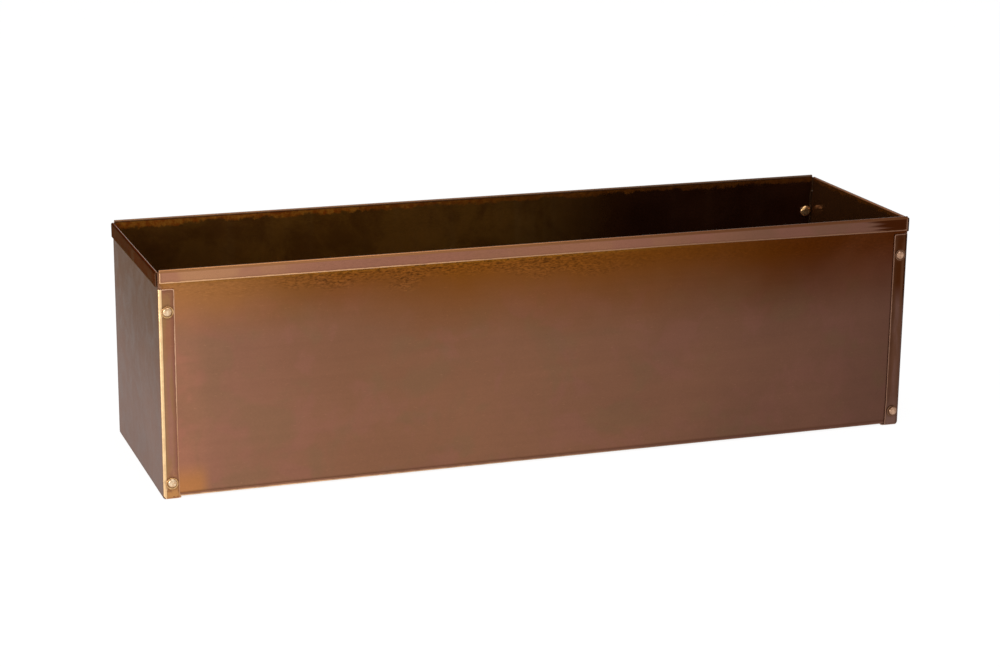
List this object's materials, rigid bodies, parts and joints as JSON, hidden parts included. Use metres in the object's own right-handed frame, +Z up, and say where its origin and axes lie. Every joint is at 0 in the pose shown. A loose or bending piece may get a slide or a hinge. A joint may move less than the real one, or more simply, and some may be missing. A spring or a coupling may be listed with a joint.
{
  "type": "window box planter",
  "caption": "Long rectangular copper window box planter, folded from sheet with hemmed rims, closed by riveted end caps and open at the top for soil and plants.",
  "frame": {"origin": "middle of the footprint, on the plane that the box stands on", "axes": "+X along the length, -Y is the front face shown in the picture, +Z up"},
  "size_m": [0.613, 0.1774, 0.175],
  "materials": {
    "aged_copper_sheet": "brown patina, satin, with edges worn bright",
    "aged_copper_rivet": "rubbed patina, semi-gloss"
  },
  "bodies": {
    "root": {"trough": "aged_copper_sheet", "left_end_cap": "aged_copper_sheet", "right_end_cap": "aged_copper_sheet", "rivet_front_left_bottom": "aged_copper_rivet", "rivet_front_left_top": "aged_copper_rivet", "rivet_front_right_bottom": "aged_copper_rivet", "rivet_front_right_top": "aged_copper_rivet", "rivet_back_left_bottom": "aged_copper_rivet", "rivet_back_left_top": "aged_copper_rivet", "rivet_back_right_bottom": "aged_copper_rivet", "rivet_back_right_top": "aged_copper_rivet", "burr_front_left_bottom": "aged_copper_rivet", "burr_front_left_top": "aged_copper_rivet", "burr_front_right_bottom": "aged_copper_rivet", "burr_front_right_top": "aged_copper_rivet", "burr_back_left_bottom": "aged_copper_rivet", "burr_back_left_top": "aged_copper_rivet", "burr_back_right_bottom": "aged_copper_rivet", "burr_back_right_top": "aged_copper_rivet"}
  },
  "joints": []
}
